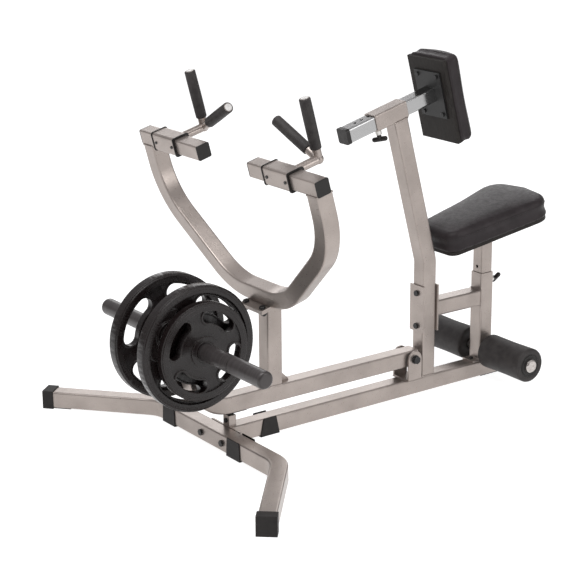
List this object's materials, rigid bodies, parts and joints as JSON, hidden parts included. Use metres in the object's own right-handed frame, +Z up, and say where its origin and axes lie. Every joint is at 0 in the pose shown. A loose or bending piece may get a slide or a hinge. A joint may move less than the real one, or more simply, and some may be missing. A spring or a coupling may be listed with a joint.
{
  "type": "plate-loaded seated row machine",
  "caption": "Lever row machine on a rail base, with sliding handles, weight horns, chest pad, seat and foot rollers.",
  "frame": {"origin": "middle of the footprint, on the floor", "axes": "+Z up; +Y from the weight horns toward the seat; +X to the left of a person sitting on the seat, who faces -Y"},
  "size_m": [1.2184, 1.5071, 1.0676],
  "materials": {
    "frame_paint": "satin silver powder coat",
    "black_rubber": "matte",
    "black_plastic": "satin",
    "black_steel": "black oxide",
    "zinc": "zinc plated",
    "bright_cap": "polished",
    "foam": "matte foam skin",
    "horn_grey": "satin",
    "chrome_tube": "polished",
    "board": "black painted board",
    "vinyl": "soft grained vinyl",
    "white_plastic": "gloss",
    "plate_black": "semi-gloss black enamel"
  },
  "bodies": {
    "base": {"front_stabilizer": "frame_paint", "stabilizer_caps": "black_rubber", "clip_feet": "black_rubber", "main_rail": "frame_paint", "rail_cap": "black_rubber", "frame_bolts": "black_steel", "upright_post": "frame_paint", "pad_sleeve": "frame_paint", "pin_housings": "zinc", "bracket_plates": "frame_paint", "seat_brace": "frame_paint", "seat_post": "frame_paint", "pivot_bracket": "frame_paint", "pivot_bolt": "black_steel", "lever_stop": "frame_paint", "stop_bumper": "black_rubber", "roller_shaft": "zinc", "roller_caps": "bright_cap"},
    "lever": {"lever_arm": "frame_paint", "pivot_bushings": "black_plastic", "stop_strip": "black_rubber", "lever_post": "frame_paint", "post_gusset": "frame_paint", "yoke_plate": "frame_paint", "yoke": "frame_paint", "yoke_bolts": "black_steel", "slide_tubes": "frame_paint", "slide_plugs": "black_plastic", "horn_core": "zinc", "horn_sleeves": "horn_grey", "horn_collars": "black_plastic"},
    "carriage_left": {"carriage_left": "frame_paint", "carriage_liners_left": "black_plastic", "carriage_screws_left": "black_steel", "grips_left": "foam", "grip_plugs_left": "white_plastic"},
    "carriage_right": {"carriage_right": "frame_paint", "carriage_liners_right": "black_plastic", "carriage_screws_right": "black_steel", "grips_right": "foam", "grip_plugs_right": "white_plastic"},
    "chest_pad": {"pad_tube": "chrome_tube", "pad_tube_cap": "black_plastic", "pad_board": "board", "pad_cushion": "vinyl", "pad_screws": "black_steel"},
    "pad_pin": {"pad_pin": "black_plastic"},
    "seat": {"seat_tube": "frame_paint", "seat_board": "board", "seat_cushion": "vinyl", "seat_screws": "black_steel"},
    "seat_pin": {"seat_pin": "black_plastic"},
    "roller_left": {"roller_foam_left": "foam", "roller_core_left": "black_plastic"},
    "roller_right": {"roller_foam_right": "foam", "roller_core_right": "black_plastic"},
    "plate_left": {"plate_left": "plate_black"},
    "plate_small": {"plate_small": "plate_black"},
    "plate_right": {"plate_right": "plate_black"}
  },
  "joints": [
    {"name": "lever_lift", "type": "hinge", "parent": "base", "child": "lever", "pos_m": [0, 0.25221, 0.1225], "axis": [-1, 0, 0], "range_deg": [0, 36]},
    {"name": "left_handle_slide", "type": "slide", "parent": "lever", "child": "carriage_left", "axis": [1, 0, 0], "range_m": [-0.066, 0.054]},
    {"name": "right_handle_slide", "type": "slide", "parent": "lever", "child": "carriage_right", "axis": [-1, 0, 0], "range_m": [-0.102, 0.018]},
    {"name": "chest_pad_slide", "type": "slide", "parent": "base", "child": "chest_pad", "axis": [0, 0.9659, 0.2588], "range_m": [-0.075, 0.075]},
    {"name": "chest_pad_pin_pull", "type": "slide", "parent": "base", "child": "pad_pin", "axis": [0, 0.2588, -0.9659], "range_m": [0, 0.012], "stiffness_N_per_m": 800},
    {"name": "seat_height", "type": "slide", "parent": "base", "child": "seat", "axis": [0, 0, 1], "range_m": [-0.05, 0.1]},
    {"name": "seat_pin_pull", "type": "slide", "parent": "base", "child": "seat_pin", "axis": [0, 1, 0], "range_m": [0, 0.012], "stiffness_N_per_m": 800},
    {"name": "left_roller_spin", "type": "hinge", "parent": "base", "child": "roller_left", "pos_m": [0.1385, 0.55721, 0.091], "axis": [1, 0, 0], "continuous": true},
    {"name": "right_roller_spin", "type": "hinge", "parent": "base", "child": "roller_right", "pos_m": [-0.1385, 0.55721, 0.091], "axis": [1, 0, 0], "continuous": true},
    {"name": "left_plate_off", "type": "slide", "parent": "lever", "child": "plate_left", "axis": [1, 0, 0], "range_m": [0, 0.36]},
    {"name": "small_plate_off", "type": "slide", "parent": "plate_left", "child": "plate_small", "axis": [1, 0, 0], "range_m": [0, 0.32]},
    {"name": "right_plate_off", "type": "slide", "parent": "lever", "child": "plate_right", "axis": [-1, 0, 0], "range_m": [0, 0.36]}
  ]
}
